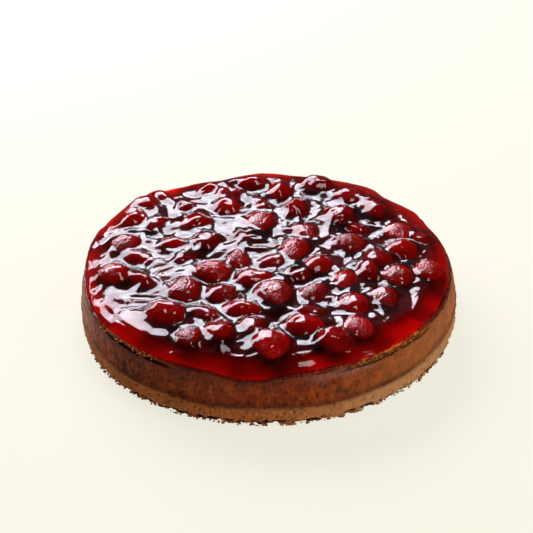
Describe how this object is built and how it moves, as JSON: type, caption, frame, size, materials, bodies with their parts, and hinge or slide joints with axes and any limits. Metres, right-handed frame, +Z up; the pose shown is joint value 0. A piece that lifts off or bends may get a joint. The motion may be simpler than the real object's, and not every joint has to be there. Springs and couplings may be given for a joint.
{
  "type": "strawberry cheesecake",
  "caption": "Whole round baked cheesecake on a pale shortcrust base, with a browned side and a top of whole strawberries set in glossy red jelly.",
  "frame": {"origin": "middle of the underside, on the surface the cake stands on", "axes": "+Z up through the layers, -Y towards the front, where jelly has run over the rim"},
  "size_m": [0.2574, 0.2591, 0.0531],
  "materials": {
    "shortcrust": "matt baked shortcrust, fine crumb",
    "browned_cheesecake": "matt browned baked cheesecake with fine pits",
    "jelly": "wet gloss, clear red set jelly",
    "strawberry": "jelly-glazed strawberry skin with seeds"
  },
  "bodies": {
    "root": {"shortcrust_base": "shortcrust", "baked_cheesecake": "browned_cheesecake", "strawberry_jelly": "jelly", "strawberry_01": "strawberry", "strawberry_02": "strawberry", "strawberry_03": "strawberry", "strawberry_04": "strawberry", "strawberry_05": "strawberry", "strawberry_06": "strawberry", "strawberry_07": "strawberry", "strawberry_08": "strawberry", "strawberry_09": "strawberry", "strawberry_10": "strawberry", "strawberry_11": "strawberry", "strawberry_12": "strawberry", "strawberry_13": "strawberry", "strawberry_14": "strawberry", "strawberry_15": "strawberry", "strawberry_16": "strawberry", "strawberry_17": "strawberry", "strawberry_18": "strawberry", "strawberry_19": "strawberry", "strawberry_20": "strawberry", "strawberry_21": "strawberry", "strawberry_22": "strawberry", "strawberry_23": "strawberry", "strawberry_24": "strawberry", "strawberry_25": "strawberry", "strawberry_26": "strawberry", "strawberry_27": "strawberry", "strawberry_28": "strawberry", "strawberry_29": "strawberry", "strawberry_30": "strawberry", "strawberry_31": "strawberry", "strawberry_32": "strawberry", "strawberry_33": "strawberry", "strawberry_34": "strawberry", "strawberry_35": "strawberry", "strawberry_36": "strawberry", "strawberry_37": "strawberry", "strawberry_38": "strawberry", "strawberry_39": "strawberry", "strawberry_40": "strawberry", "strawberry_41": "strawberry", "strawberry_42": "strawberry", "strawberry_43": "strawberry", "strawberry_44": "strawberry", "strawberry_45": "strawberry", "strawberry_46": "strawberry", "strawberry_47": "strawberry", "strawberry_48": "strawberry", "strawberry_49": "strawberry", "strawberry_50": "strawberry", "strawberry_51": "strawberry", "strawberry_52": "strawberry", "strawberry_53": "strawberry", "strawberry_54": "strawberry", "strawberry_55": "strawberry", "strawberry_56": "strawberry", "strawberry_57": "strawberry"}
  },
  "joints": []
}
